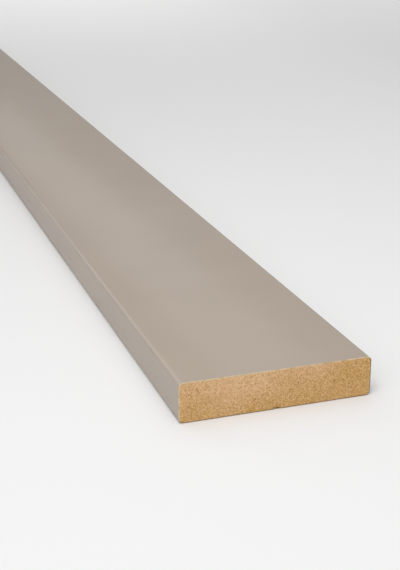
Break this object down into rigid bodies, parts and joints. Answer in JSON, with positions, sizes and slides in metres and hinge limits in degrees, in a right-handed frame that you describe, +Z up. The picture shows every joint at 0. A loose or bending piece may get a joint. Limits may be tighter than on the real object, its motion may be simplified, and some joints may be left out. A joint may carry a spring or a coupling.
{
  "type": "decorative trim strip",
  "caption": "Flat rectangular trim strip: a fibreboard bar wrapped in matt taupe decor foil, with eased long edges, a butt seam along its back and sawn ends. It faces cabinet fronts.",
  "frame": {"origin": "middle of the back, on the plane that the strip lies on", "axes": "+X across the strip, +Y along it from one sawn end to the other, +Z up, out of the show face"},
  "size_m": [0.06, 2.21, 0.0126],
  "materials": {
    "fibreboard": "sawn medium-density fibreboard, bare",
    "decor_foil": "matt, plain taupe"
  },
  "bodies": {
    "root": {"mdf_core": "fibreboard", "foil_wrap": "decor_foil"}
  },
  "joints": []
}
